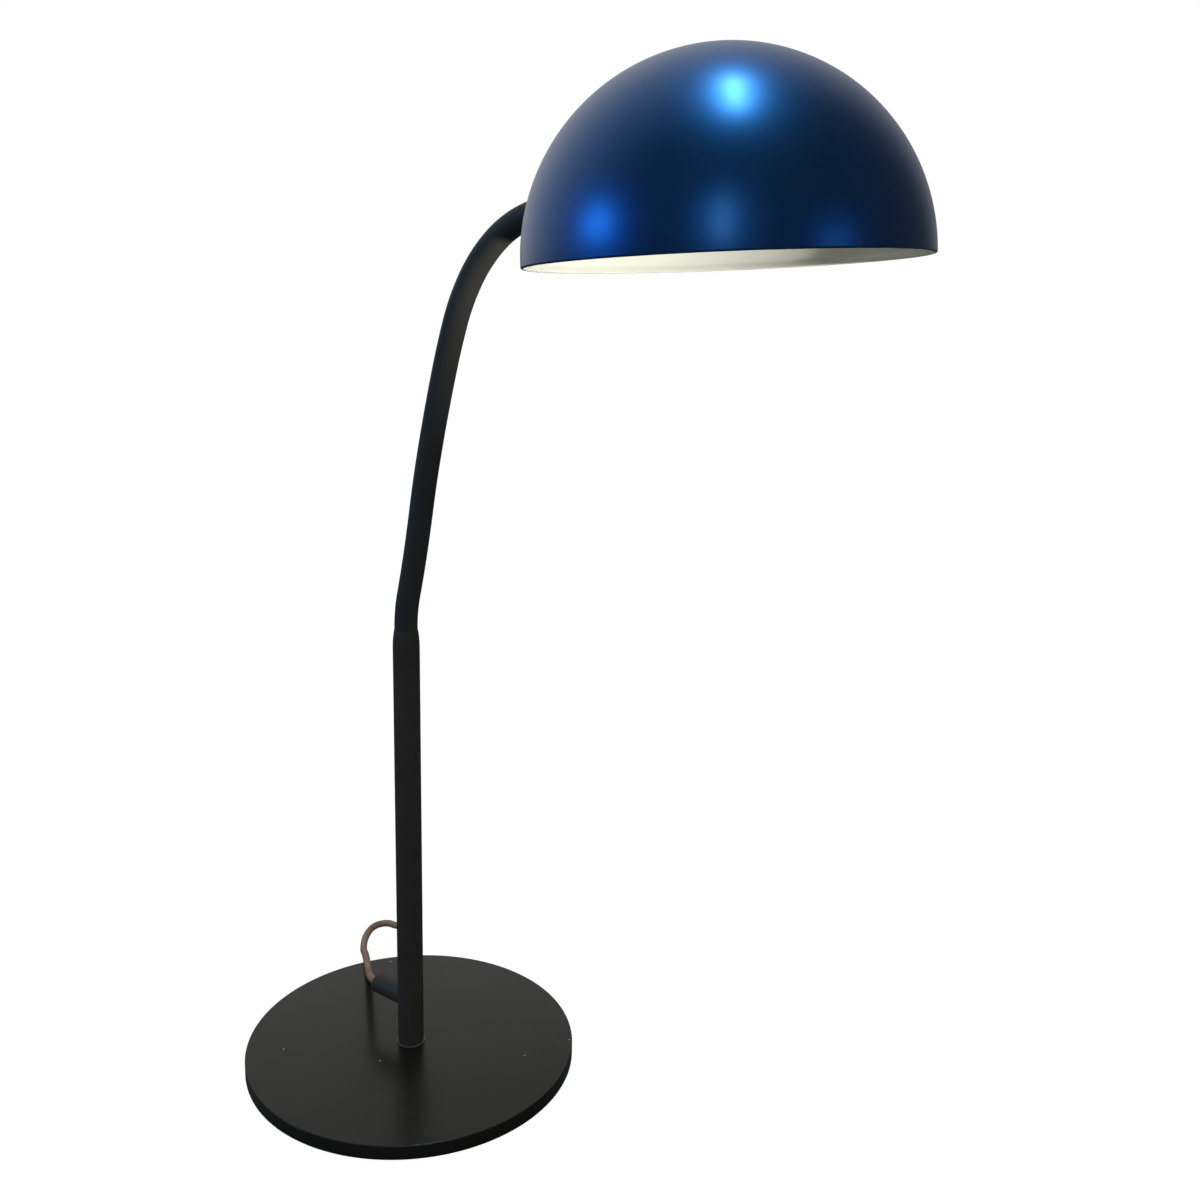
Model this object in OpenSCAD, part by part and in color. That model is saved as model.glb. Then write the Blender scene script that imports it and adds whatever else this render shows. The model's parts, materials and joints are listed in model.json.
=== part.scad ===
// Gooseneck desk lamp: a round steel base, a black pole, a sleeved flexible neck and a half-ball shade.
// The table is the plane z = 0, the pole stands on the Z axis and the neck leans over towards +X.

/* [Base] */
// Diameter of the round base plate
base_d = 217; // [160:1:260]
// Thickness of the base plate
plate_t = 9.5; // [7:0.5:12]
// Radius that breaks the plate's two edges
plate_edge_r = 0.8; // [0.3:0.1:2]
// Thickness of the felt glued under the plate
felt_t = 1; // [0.6:0.2:2]
// How far the felt stays inside the plate's edge
felt_inset = 4; // [2:1:15]
// Diameter of the recess for the bolt head
recess_d = 23; // [20:1:40]
// Depth of the recess for the bolt head
recess_depth = 5.5; // [5.4:0.1:6.4]

/* [Base bolt] */
// Thread diameter of the bolt that holds the pole
bolt_d = 8; // [5:1:9]
// Length of the bolt under its head
bolt_l = 20; // [12:1:24]
// Diameter of the bolt head
bolt_head_d = 13; // [12:0.5:16]
// Height of the bolt head
bolt_head_h = 4; // [3:0.1:4]
// Hexagon key size of the bolt head
bolt_key = 5; // [3:1:6]
// Diameter of the washer under the bolt head
washer_d = 17; // [15:1:19]
// Thickness of the washer under the bolt head
washer_t = 1.2; // [0.8:0.1:1.3]

/* [Pole] */
// Outer diameter of the pole
pole_d = 17; // [16.5:0.5:19]
// Wall of the pole and of the cord outlet
tube_wall = 1.5; // [1:0.1:1.8]
// Height of the pole's mouth above the table
pole_top = 298.5; // [180:0.5:400]
// Length of the pole's drawn-in end
mouth_l = 12; // [6:1:20]
// Diameter of the ring under the pole's foot
foot_ring_d = 19.5; // [19:0.5:30]
// Thickness of the ring under the pole's foot
foot_ring_t = 0.8; // [0.4:0.1:2]
// Length of the threaded insert in the pole's foot
insert_l = 18; // [14:1:19]

/* [Cord outlet] */
// Height of the cord outlet's axis above the table
outlet_z = 41.5; // [38:0.5:60]
// Outer diameter of the cord outlet
outlet_d = 13; // [12:0.5:14.5]
// Reach of the cord outlet from the pole's axis
outlet_reach = 31; // [24:1:50]
// Length of the rubber bush in the cord outlet
bush_l = 8; // [5:1:12]

/* [Neck] */
// Outer diameter of the neck's plastic sleeve
sleeve_d = 14.6; // [13.4:0.2:15]
// Wall of the neck's plastic sleeve
sleeve_wall = 1; // [0.8:0.1:1.2]
// Bore of the steel gooseneck inside the sleeve
coil_bore = 6; // [5.8:0.1:7]
// Length of the neck's first section, above the pole's mouth
first_l = 23.7; // [14:0.1:30]
// Length of each of the nine sections between two bending points
section_l = 29; // [22:0.5:40]
// Length of the neck's last section, up to the shade
last_l = 23; // [18:0.5:40]
// Running gap at each bending point
bend_gap = 0.15; // [0.12:0.01:0.3]
// Length of the steel bush that holds the neck in the pole
neck_bush_l = 22; // [14:1:40]
// Depth of the gooseneck in its steel bush
neck_grip = 15; // [8:1:18]

/* [Neck pose] */
// Bend of the neck's first section, in degrees
bend_root = 14; // [1:0.5:20]
// Bend of the first section over the root, which straightens the neck
bend_1 = -2.5; // [-8:0.5:-0.5]
// Bend of the second section over the root, in degrees
bend_2 = -1.5; // [-8:0.5:-0.5]
// Bend of the third section over the root, in degrees
bend_3 = 2.5; // [0.5:0.5:10]
// Bend of the fourth section over the root, in degrees
bend_4 = 1.5; // [0.5:0.5:10]
// Bend of the fifth section over the root, in degrees
bend_5 = 1.5; // [0.5:0.5:10]
// Bend of the sixth section over the root, in degrees
bend_6 = 3.5; // [0.5:0.5:15]
// Bend of the seventh section over the root, in degrees
bend_7 = 13; // [5:0.5:20]
// Bend of the eighth section over the root, in degrees
bend_8 = 17.5; // [5:0.5:24]
// Bend of the ninth section over the root, in degrees
bend_9 = 22.5; // [5:0.5:26]
// Bend of the last section, in degrees
bend_end = 29.5; // [5:0.5:32]

/* [Shade] */
// Outer radius of the half-ball shade
shade_r = 101.5; // [98:0.5:125]
// Thickness of the shade's metal
shade_wall = 0.8; // [0.8:0.1:1.2]
// How far the shade's rim lies below the ball's centre
rim_drop = 1.2; // [0.5:0.1:4]
// Radius of the bead rolled into the rim
bead_r = 0.9; // [0.8:0.1:1.5]
// Height of the neck's entry, as an angle above the rim
entry_angle = 16.5; // [14:0.5:20]
// Turn of the shade about the neck's end, in degrees
shade_roll = -1.5; // [-10:0.5:10]

/* [Neck end] */
// Diameter of the nipple's thread
nipple_d = 10; // [9.6:0.2:11]
// Bore of the nipple
nipple_bore = 6.2; // [6:0.1:7]
// Length of the nipple from the sleeve's end
nipple_l = 19; // [17:0.5:22]
// Thickness of the nipple's flange
flange_t = 1.2; // [1:0.1:2]
// Distance from the sleeve's end to the shade
seat_t = 4; // [3.2:0.1:6]
// Diameter of the seat between the neck and the shade
seat_d = 19; // [16:0.5:24]
// Diameter of the washer inside the shade
inner_washer_d = 18; // [16:0.5:20]
// Thickness of the washer inside the shade
inner_washer_t = 1.2; // [0.8:0.1:1.6]
// Size of the nuts across their flats
nut_af = 14; // [13:0.5:15]
// Thickness of the nuts
nut_t = 3; // [2:0.2:4]

/* [Lampholder] */
// Thickness of the bracket's strip
bracket_t = 1.5; // [1:0.1:2]
// Width of the bracket's strip
bracket_w = 14; // [13:0.5:15]
// Height of the lampholder's axis above the rim
holder_z = 52; // [50:0.5:54]
// Distance from the ball's centre to the bracket's upright
upright_x = 70.5; // [68:0.5:71]
// Outer diameter of the lampholder
holder_d = 38; // [36:0.5:40]
// Wall of the lampholder's shells
holder_wall = 2.5; // [2:0.1:3]
// Length of the lampholder's cap
cap_l = 24; // [22:0.5:26]
// Length of the lampholder's body
body_l = 28; // [26:0.5:32]
// Diameter of the bulb's screw cap
screw_d = 26.4; // [26:0.1:27]
// Length of the bulb's screw cap
screw_l = 23; // [20:0.5:24]
// Diameter of the bulb's ball
bulb_d = 60; // [45:1:64]
// Length of the bulb's glass
bulb_l = 80; // [70:1:84]
// Thickness of the bulb's glass
glass_t = 0.8; // [0.6:0.1:1.2]
// Length of the switch knob's wing
knob_l = 14; // [10:0.5:18]
// Thickness of the switch knob's wing
knob_t = 5; // [4:0.5:8]
// Height of the switch knob
knob_h = 11; // [8:0.5:16]

/* [Mains cord] */
// Diameter of the mains cord
cord_d = 5.2; // [4.6:0.1:5.4]
// Length of the hank's straight runs
hank_run = 84; // [80:1:104]
// Radius of the hank's innermost folds
hank_r = 10.8; // [10.4:0.1:14]
// Step from one turn of the hank to the next
hank_step = 5.9; // [5.8:0.1:7]
// Step from one layer of the hank to the next
layer_step = 5.7; // [5.6:0.1:7]
// How far the tie draws the hank's runs in
waist = 7.6; // [2:0.2:7.8]
// Width of the tie round the hank
tie_w = 6; // [4:0.5:12]
// Thickness of the tie round the hank
tie_t = 1; // [0.6:0.1:2]

/* [Plug] */
// Width of the plug over its shoulders
plug_w = 35; // [30:0.5:36]
// Thickness of the plug
plug_t = 13.7; // [12:0.1:14]
// Length of the plug's body
plug_l = 34; // [30:0.5:40]
// Diameter of the plug's pins
pin_d = 4; // [3.8:0.1:4.2]
// Free length of the plug's pins
pin_l = 19; // [18:0.1:20]
// Distance between the plug's pins
pin_pitch = 19; // [18:0.1:19.2]
// Length of the plug's tapered strain relief
relief_l = 21; // [20:1:40]

/* [Hidden] */
$fn = 64;
cut = 1;
fit_gap = 0.05;
loose_gap = 0.1;

// Names of the neck's eleven sections, from the pole to the shade
section_ids = ["00", "01", "02", "03", "04", "05", "06", "07", "08", "09", "10"];
sleeve_names = [for (id = section_ids) str("neck_sleeve_", id)];
coil_names = [for (id = section_ids) str("neck_coil_", id)];

// Colours
black_paint = "#2b2a28";
black_sleeve = "#212322";
black_rubber = "#1c1c1c";
steel = "#b4b6b8";
brass = "#c9a44a";
felt_green = "#2f3a33";
shade_blue = "#12489c";
holder_white = "#e6e2d8";
cord_grey = "#6e675c";

// Heights on the pole
plate_top = felt_t + plate_t;
pole_foot = plate_top + foot_ring_t;
bolt_seat = felt_t + recess_depth;
mouth_r = sleeve_d / 2 + 0.15;
pole_bore = pole_d - 2 * tube_wall;

// Radii in the neck, from the sleeve to the lead
sleeve_r = sleeve_d / 2;
sleeve_bore_r = sleeve_r - sleeve_wall;
ball_r = sleeve_r - fit_gap;
coil_r = sleeve_bore_r - 0.2;
coil_bore_r = coil_bore / 2;
nipple_plug = 6;
nipple_plug_r = sleeve_bore_r - 0.5;
coil_stop = nipple_plug + 1;
lead_r = cord_d / 2;
lead_bend_r = 12;

// The neck's sections: their lengths, bends, leans and starting points
sections = 11;
section_lengths = [for (k = [0 : sections - 1]) k == 0 ? first_l : k == sections - 1 ? last_l : section_l];
bends = [bend_root, bend_1, bend_2, bend_3, bend_4, bend_5, bend_6, bend_7, bend_8, bend_9, bend_end];
function lean(k) = k == 0 ? 0 : lean(k - 1) + bends[k - 1];
function run_on(k) = k < sections - 1 ? 1 + sleeve_d / section_lengths[k] : 1;
function arc_r(k) = section_lengths[k] * 180 / (PI * abs(bends[k]));
function chord(k) = 2 * arc_r(k) * sin(abs(bends[k]) / 2);
function chord_way(k) = let (a = lean(k) + bends[k] / 2) chord(k) * [sin(a), 0, cos(a)];
function joint_at(k) = k == 0 ? [0, 0, pole_top] : joint_at(k - 1) + chord_way(k - 1);
neck_end = joint_at(sections);
end_lean = lean(sections);

// Distance from the neck's end to the centre of the shade's ball
ball_x = seat_t + shade_r;
nipple_r = nipple_d / 2 - fit_gap;
washer_seat = ball_x - sqrt(pow(shade_r - shade_wall, 2) - pow(inner_washer_d / 2, 2)) + fit_gap;
bracket_seat = washer_seat + inner_washer_t;
nut_seat = bracket_seat + bracket_t;

// Stations along the lampholder's axis, from the bracket's upright
cap_start = -upright_x + fit_gap;
body_start = cap_start + cap_l;
spigot_l = 6;
insert_l2 = 8;
insert_start = body_start - spigot_l + 1;
shell_start = insert_start + insert_l2;
screw_start = shell_start + 1;
glass_start = screw_start + screw_l;
holder_bore_r = holder_d / 2 - holder_wall - 1.5;
knob_x = cap_start + 9.5;

// The mains cord's way: out of the outlet, over the plate's edge, round in a hook and behind the pole
cord_route = [
    [-31, 0, 41.5], [-35, 0, 41.5], [-40.5, 2.2, 40.7], [-47, 7.4, 37.8], [-54, 13.6, 32.9],
    [-61.5, 20.3, 27], [-69.5, 27.4, 20.9], [-78, 35, 16.1], [-86.5, 42, 13.9], [-95.5, 49.2, 13.3],
    [-104.5, 56.2, 11.4], [-111.5, 61.8, 7.7], [-118.5, 67.8, 4.4], [-125.5, 74.5, 2.8],
    [-131.5, 81.5, 2.6], [-136.3, 89, 2.6], [-139.2, 96, 2.6], [-139.7, 101.5, 2.6],
    [-137.8, 106.5, 2.6], [-133.8, 109.9, 2.6], [-128.7, 110.6, 2.6], [-124, 112.6, 2.6],
    [-120.7, 116.5, 2.6], [-119.7, 121.5, 2.6], [-120.8, 126, 2.6], [-123.8, 130, 2.6],
    [-127.6, 133.2, 2.6], [-130.9, 135.5, 2.6]];

// The hank behind the pole: its place, its heading and its way
rear_angle = 135.3;
hank_start = 202;
hank_turns = 4;
hank_out_r = hank_r + 2 * hank_step;
hank_z = cord_d / 2 + hank_out_r;
lead_in = 8;
straight_end = 4.5;
run_steps = 5;
fold_steps = 7;
loop_steps = 2 * (run_steps + fold_steps);
climb = run_steps / loop_steps;

// Radius of the fold after a number of turns: two turns in, one run across, two turns out
function hank_radius(turn) = turn <= 2 ? hank_out_r - hank_step * turn
    : turn <= 2 + climb ? hank_r : hank_r + hank_step * (turn - 2 - climb);
function hank_side(turn) = layer_step * (min(max((turn - 2) / climb, 0), 1) - 0.5);
function drawn(x) = waist * pow(sin(180 * x / hank_run), 2);
function hank_point(i) =
    let (turn = i / loop_steps, step = i % loop_steps, r = hank_radius(turn), y = hank_side(turn))
    step <= run_steps
        ? let (x = hank_run * step / run_steps) [x, y, drawn(x) - r]
    : step <= run_steps + fold_steps
        ? let (a = 180 * (step - run_steps) / fold_steps - 90) [hank_run + r * cos(a), y, r * sin(a)]
    : step <= 2 * run_steps + fold_steps
        ? let (x = hank_run * (1 - (step - run_steps - fold_steps) / run_steps)) [x, y, r - drawn(x)]
    : let (a = 180 * (step - 2 * run_steps - fold_steps) / fold_steps + 90) [r * cos(a), y, r * sin(a)];
hank_last = hank_turns * loop_steps + run_steps;
hank_way = concat(
    [[-lead_in, hank_side(0), -hank_out_r]],
    [for (i = [0 : hank_last]) hank_point(i)],
    [[hank_run + lead_in, hank_side(hank_turns), -hank_out_r]]);

// Least distance between two turns of the hank, less the cord's own diameter
function point_gap(a, b) = norm(hank_way[a] - hank_way[b]) - cord_d;
hank_gap = min([for (a = [0 : len(hank_way) - 1], b = [a + run_steps : 1 : len(hank_way) - 1]) point_gap(a, b)]);
echo(least_gap_between_turns = hank_gap);

// The short tail from the hank to the plug
tail_way = [
    [0, 0, 0], [2, 0, 0], [6, -0.4, 1], [10.5, -1, 3.6], [14.5, -1.6, 7], [18.5, -2.2, 10.7],
    [22.5, -2.7, 13.6], [26.5, -2.85, 15], [30, -2.85, 15]];
tail_end = tail_way[len(tail_way) - 1];
tail_start = [hank_run + lead_in, hank_side(hank_turns), cord_d / 2];
function way_length(way) = len(way) < 2 ? 0
    : norm(way[len(way) - 1] - way[len(way) - 2]) + way_length([for (i = [0 : len(way) - 2]) way[i]]);
plug_place = tail_start + tail_end;

function unit(v) = v / norm(v);
function heading(way, i) = unit(way[min(i + 1, len(way) - 1)] - way[max(i - 1, 0)]);
function ring_points(centre, along, side, r, n) =
    let (u = unit(cross(along, side)), v = cross(u, along))
    [for (j = [0 : n - 1]) centre + r * (cos(360 * j / n) * u + sin(360 * j / n) * v)];

// A cord of n sides through the points of a way, with one ring at each point
module cord_tube(way, r, n, side) {
    last = len(way) - 1;
    points = [for (i = [0 : last]) each ring_points(way[i], heading(way, i), side, r, n)];
    walls = [for (i = [0 : last - 1], j = [0 : n - 1])
        let (a = i * n + j, b = i * n + (j + 1) % n) each [[a, b, a + n], [b, b + n, a + n]]];
    near_end = [for (j = [1 : n - 2]) [0, j + 1, j]];
    far_end = [for (j = [1 : n - 2]) [last * n, last * n + j, last * n + j + 1]];
    polyhedron(points = points, faces = concat(walls, near_end, far_end), convexity = 10);
}

function arc_points(x, y, r, from, to, n) =
    [for (i = [0 : n]) let (a = from + (to - from) * i / n) [x + r * cos(a), y + r * sin(a)]];

module tube(d, bore, h) {
    difference() {
        cylinder(d = d, h = h);
        translate([0, 0, -cut]) cylinder(d = bore, h = h + 2 * cut);
    }
}

module hex_nut(af, bore, h) {
    difference() {
        cylinder(d = af / cos(30), h = h, $fn = 6);
        translate([0, 0, -cut]) cylinder(d = bore, h = h + 2 * cut);
    }
}

// A round rod of a neck section's own bend, from the origin up, leaning towards +X
module bent_rod(k, r, share = 1) {
    mirror([bends[k] < 0 ? 1 : 0, 0, 0])
        translate([arc_r(k), 0, 0])
            mirror([1, 0, 0])
                rotate([90, 0, 0])
                    rotate_extrude(angle = share * abs(bends[k]), $fn = 128)
                        translate([arc_r(k), 0]) circle(r = r, $fn = 48);
}

module at_section(k) {
    translate(joint_at(k)) rotate([0, lean(k), 0]) children();
}

// The far end of section k, in the frame of its start
module at_section_end(k) {
    translate([sign(bends[k]) * arc_r(k) * (1 - cos(bends[k])), 0, arc_r(k) * abs(sin(bends[k]))])
        rotate([0, bends[k], 0]) children();
}

// Cuts a rod that runs on past its section's end to the ball of the bending point
module round_end_cutter() {
    difference() {
        cylinder(r = sleeve_d, h = 2 * sleeve_d);
        sphere(r = ball_r);
    }
}

// A rod of section k that ends in the ball of the next bending point and clears the ball before it
module section_rod(k, r) {
    difference() {
        bent_rod(k, r, run_on(k));
        if (k < sections - 1) at_section_end(k) round_end_cutter();
        if (k > 0) sphere(r = ball_r + bend_gap);
    }
}

module at_neck_end() {
    translate(neck_end) rotate([0, end_lean, 0]) rotate([0, 0, shade_roll]) children();
}

// The shade's own frame: its ball's centre is the origin and its rim lies level
module in_shade() {
    at_neck_end() translate([0, 0, ball_x]) rotate([0, -90 - entry_angle, 0]) children();
}

module nipple_axis() {
    rotate([0, 90 + entry_angle, 0]) translate([0, 0, -ball_x]) children();
}

// A station on the lampholder's axis, with +Z along it into the shade
module on_holder(x) {
    translate([x, 0, holder_z]) rotate([0, 90, 0]) children();
}

module behind_pole(x, y, z) {
    rotate([0, 0, rear_angle]) translate([hank_start + x, y, z]) children();
}

module base_plate() {
    profile = concat(
        [[0, 0]],
        arc_points(base_d / 2 - plate_edge_r, plate_edge_r, plate_edge_r, -90, 0, 4),
        arc_points(base_d / 2 - plate_edge_r, plate_t - plate_edge_r, plate_edge_r, 0, 90, 4),
        [[0, plate_t]]);
    color(black_paint) difference() {
        translate([0, 0, felt_t]) rotate_extrude($fn = 128) polygon(profile);
        translate([0, 0, felt_t - cut]) cylinder(d = recess_d, h = recess_depth + cut);
        cylinder(d = bolt_d + 2 * loose_gap, h = plate_top + cut);
    }
}

module base_felt() {
    color(felt_green) cylinder(d = base_d - 2 * felt_inset, h = felt_t, $fn = 128);
}

module foot_ring() {
    edge = foot_ring_t / 3;
    color(steel) translate([0, 0, plate_top]) difference() {
        rotate_extrude() polygon([
            [0, 0], [foot_ring_d / 2, 0], [foot_ring_d / 2, foot_ring_t - edge],
            [foot_ring_d / 2 - edge, foot_ring_t], [0, foot_ring_t]]);
        translate([0, 0, -cut]) cylinder(d = bolt_d + 2 * loose_gap, h = foot_ring_t + 2 * cut);
    }
}

module foot_bolt() {
    color(steel) translate([0, 0, bolt_seat - washer_t]) difference() {
        union() {
            cylinder(d = bolt_d, h = bolt_l);
            translate([0, 0, -bolt_head_h]) cylinder(d = bolt_head_d, h = bolt_head_h);
        }
        translate([0, 0, -bolt_head_h - cut])
            cylinder(d = bolt_key / cos(30), h = bolt_head_h / 2 + cut, $fn = 6);
    }
}

module foot_washer() {
    color(steel) translate([0, 0, bolt_seat - washer_t])
        tube(washer_d, bolt_d + 2 * loose_gap, washer_t);
}

module pole_insert() {
    color(steel) translate([0, 0, pole_foot])
        tube(pole_bore - 2 * fit_gap, bolt_d + 2 * fit_gap, insert_l);
}

module pole() {
    steps = 6;
    drawn_in = pole_d / 2 - mouth_r;
    bore_in = pole_bore / 2 - coil_r - loose_gap;
    mouth_start = pole_top - mouth_l;
    outside = [for (i = [0 : steps]) let (t = i / steps) [pole_d / 2 - drawn_in * t * t, mouth_start + mouth_l * t]];
    inside = [for (i = [steps : -1 : 0]) let (t = i / steps) [pole_bore / 2 - bore_in * t * t, mouth_start + mouth_l * t]];
    color(black_paint) difference() {
        rotate_extrude() polygon(concat([[pole_bore / 2, pole_foot], [pole_d / 2, pole_foot]], outside, inside));
        translate([-pole_d, 0, outlet_z]) rotate([0, 90, 0])
            cylinder(d = outlet_d - 2 * tube_wall, h = pole_d);
    }
}

module cord_outlet() {
    color(black_paint) difference() {
        translate([-outlet_reach, 0, outlet_z]) rotate([0, 90, 0]) cylinder(d = outlet_d, h = outlet_reach);
        translate([-outlet_reach - cut, 0, outlet_z]) rotate([0, 90, 0])
            cylinder(d = outlet_d - 2 * tube_wall, h = outlet_reach + 2 * cut);
        translate([0, 0, outlet_z - outlet_d]) cylinder(d = pole_d + 2 * fit_gap, h = 2 * outlet_d);
    }
}

module outlet_bush() {
    color(black_rubber) translate([-outlet_reach, 0, outlet_z]) rotate([0, 90, 0])
        tube(outlet_d - 2 * tube_wall - 2 * fit_gap, cord_d + 2 * loose_gap, bush_l);
}

// Holds the gooseneck's lower end, under the pole's drawn-in mouth
module neck_bush() {
    color(steel) translate([0, 0, pole_top - mouth_l - neck_bush_l]) difference() {
        tube(pole_bore - 2 * fit_gap, coil_bore + 2 * loose_gap, neck_bush_l);
        translate([0, 0, neck_bush_l - neck_grip]) cylinder(r = coil_r + fit_gap, h = neck_grip + cut);
    }
}

coil_foot = pole_top - mouth_l - neck_grip;

module lamp_lead_lower() {
    color(cord_grey) {
        translate([-outlet_reach, 0, outlet_z]) rotate([0, 90, 0])
            cylinder(r = lead_r, h = outlet_reach - lead_bend_r);
        translate([-lead_bend_r, 0, outlet_z + lead_bend_r]) rotate([90, 0, 0]) rotate([0, 0, -90])
            rotate_extrude(angle = 90) translate([lead_bend_r, 0]) circle(r = lead_r);
        translate([0, 0, outlet_z + lead_bend_r])
            cylinder(r = lead_r, h = pole_top - outlet_z - lead_bend_r);
        at_section(0) section_rod(0, lead_r);
    }
}

module neck_sleeve(k) {
    color(black_sleeve) at_section(k) difference() {
        section_rod(k, sleeve_r);
        bent_rod(k, sleeve_bore_r, run_on(k));
    }
}

// The gooseneck's last length stops short of the sleeve's end, where the nipple is screwed in
module last_coil_rod() {
    difference() {
        bent_rod(sections - 1, coil_r, 1 - coil_stop / last_l);
        sphere(r = ball_r + bend_gap);
    }
}

// The steel gooseneck of one section, with the lamp's lead inside it above the first section
module neck_coil(k) {
    color(steel) {
        at_section(k) difference() {
            if (k < sections - 1) section_rod(k, coil_r);
            else last_coil_rod();
            bent_rod(k, coil_bore_r, run_on(k));
        }
        if (k == 0)
            translate([0, 0, coil_foot]) tube(2 * coil_r, coil_bore, pole_top - coil_foot);
    }
    if (k > 0) color(cord_grey) at_section(k) section_rod(k, lead_r);
}

module neck_nipple() {
    color(steel) at_neck_end() difference() {
        union() {
            cylinder(d = sleeve_d, h = flange_t);
            translate([0, 0, fit_gap - nipple_plug]) cylinder(r = nipple_plug_r, h = nipple_plug);
            translate([0, 0, flange_t]) cylinder(r = nipple_r, h = nipple_l - flange_t);
        }
        translate([0, 0, -nipple_plug - cut]) cylinder(d = nipple_bore, h = nipple_plug + nipple_l + 2 * cut);
    }
}

module shade_seat() {
    color(black_rubber) at_neck_end() difference() {
        translate([0, 0, flange_t]) cylinder(d = seat_d, h = seat_t - flange_t + cut);
        translate([0, 0, ball_x]) sphere(r = shade_r + fit_gap, $fn = 128);
        cylinder(d = nipple_d + 2 * loose_gap, h = seat_t + 2 * cut);
    }
}

module shade() {
    color(shade_blue) in_shade() difference() {
        union() {
            difference() {
                sphere(r = shade_r, $fn = 128);
                sphere(r = shade_r - shade_wall, $fn = 128);
                translate([-2 * shade_r, -2 * shade_r, -rim_drop - 2 * shade_r])
                    cube([4 * shade_r, 4 * shade_r, 2 * shade_r]);
            }
            translate([0, 0, -rim_drop]) rotate_extrude($fn = 128)
                translate([shade_r - bead_r, 0]) circle(r = bead_r, $fn = 32);
        }
        nipple_axis() cylinder(d = nipple_d + 2 * loose_gap, h = seat_d);
    }
}

module inner_washer() {
    color(steel) at_neck_end() translate([0, 0, washer_seat])
        tube(inner_washer_d, nipple_d + 2 * loose_gap, inner_washer_t);
}

module nipple_nut() {
    color(steel) at_neck_end() translate([0, 0, nut_seat]) hex_nut(nut_af, nipple_d, nut_t);
}

// A strip bent twice: clamped on the nipple, led inwards and turned up to carry the lampholder
module holder_bracket() {
    foot_up = 12.5;
    foot_down = 8;
    upright_top = 13;
    inner_face = bracket_seat + bracket_t;
    leg_top = nipple_point(-foot_up, inner_face);
    leg_bottom = nipple_point(-foot_up + bracket_t / cos(entry_angle), inner_face);
    corners = [
        nipple_point(foot_down, bracket_seat), nipple_point(foot_down, inner_face), leg_bottom,
        [-upright_x, 0, leg_bottom.z], [-upright_x, 0, holder_z + upright_top],
        [-upright_x - bracket_t, 0, holder_z + upright_top], [-upright_x - bracket_t, 0, leg_top.z],
        leg_top, nipple_point(-foot_up, bracket_seat)];
    color(steel) in_shade() difference() {
        rotate([90, 0, 0]) linear_extrude(height = bracket_w, center = true)
            polygon([for (p = corners) [p.x, p.z]]);
        nipple_axis() cylinder(d = nipple_d + 2 * loose_gap, h = nipple_l);
        on_holder(-upright_x - 2 * bracket_t) cylinder(d = nipple_d + 2 * loose_gap, h = 4 * bracket_t);
    }
}

// A point of the nipple's frame, x across and z along its axis, in the shade's frame
function nipple_point(x, z) =
    [(z - ball_x) * cos(entry_angle) - x * sin(entry_angle), 0, (ball_x - z) * sin(entry_angle) - x * cos(entry_angle)];

holder_nipple_back = 5.5;
holder_nipple_in = 4;

module holder_nipple() {
    color(steel) in_shade() on_holder(-upright_x - bracket_t - holder_nipple_back)
        tube(2 * nipple_r, nipple_bore, holder_nipple_back + bracket_t + holder_nipple_in);
}

module holder_nut() {
    color(steel) in_shade() on_holder(-upright_x - bracket_t - nut_t) hex_nut(nut_af, nipple_d, nut_t);
}

module holder_cap() {
    color(holder_white) in_shade() difference() {
        on_holder(cap_start) difference() {
            cylinder(d = holder_d, h = cap_l);
            translate([0, 0, holder_wall]) cylinder(d = holder_d - 2 * holder_wall, h = cap_l);
            translate([0, 0, -cut]) cylinder(d = nipple_d, h = holder_wall + 2 * cut);
        }
        translate([lead_end.x, 0, lead_end.z - holder_wall]) cylinder(r = lead_r + 4 * loose_gap, h = 3 * holder_wall);
        translate([knob_x, 0, holder_z]) rotate([-90, 0, 0]) cylinder(r = knob_shaft_r + loose_gap, h = holder_d);
    }
}

module holder_body() {
    color(holder_white) in_shade() difference() {
        union() {
            on_holder(body_start) cylinder(d = holder_d, h = body_l);
            on_holder(body_start - spigot_l)
                cylinder(d = holder_d - 2 * holder_wall - 2 * fit_gap, h = spigot_l + cut);
        }
        on_holder(body_start - spigot_l - cut) cylinder(r = holder_bore_r, h = spigot_l + body_l + 2 * cut);
    }
}

module holder_insert() {
    color(holder_white) in_shade() on_holder(insert_start)
        cylinder(r = holder_bore_r - fit_gap, h = insert_l2);
}

terminal_l = 5;
terminal_w = 8;
terminal_side = 8;

module holder_terminals() {
    color(brass) in_shade() for (side = [-1, 1])
        translate([insert_start - terminal_l, side * terminal_side - terminal_w / 2, holder_z - terminal_l / 2])
            cube([terminal_l, terminal_w, terminal_l]);
}

// The threaded shell clears the screw cap all round and is shorter than it
shell_gap = 0.5;
shell_wall = 0.5;
shell_short = 2;

module thread_shell() {
    color(brass) in_shade() on_holder(shell_start)
        tube(screw_d + 2 * (shell_gap + shell_wall), screw_d + 2 * shell_gap, screw_l - shell_short);
}

contact_r = 4;

module centre_contact() {
    color(brass) in_shade() on_holder(shell_start)
        cylinder(r = contact_r, h = screw_start - shell_start - fit_gap);
}

// The screw cap seats in the threaded shell on three thread crests
cap_wall = 1;
cap_d = screw_d - 1;
crest_r = 0.8;
crest_in = 0.4;
crest_pitch = 4;
first_crest = 3;

module bulb_cap() {
    color(steel) in_shade() {
        on_holder(screw_start) difference() {
            cylinder(d = cap_d, h = screw_l);
            translate([0, 0, cap_wall]) cylinder(d = cap_d - 2 * cap_wall, h = screw_l);
        }
        for (i = [0 : 3]) on_holder(screw_start + first_crest + crest_pitch * i)
            rotate_extrude() translate([screw_d / 2 - crest_in, 0]) circle(r = crest_r, $fn = 16);
    }
}

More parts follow.
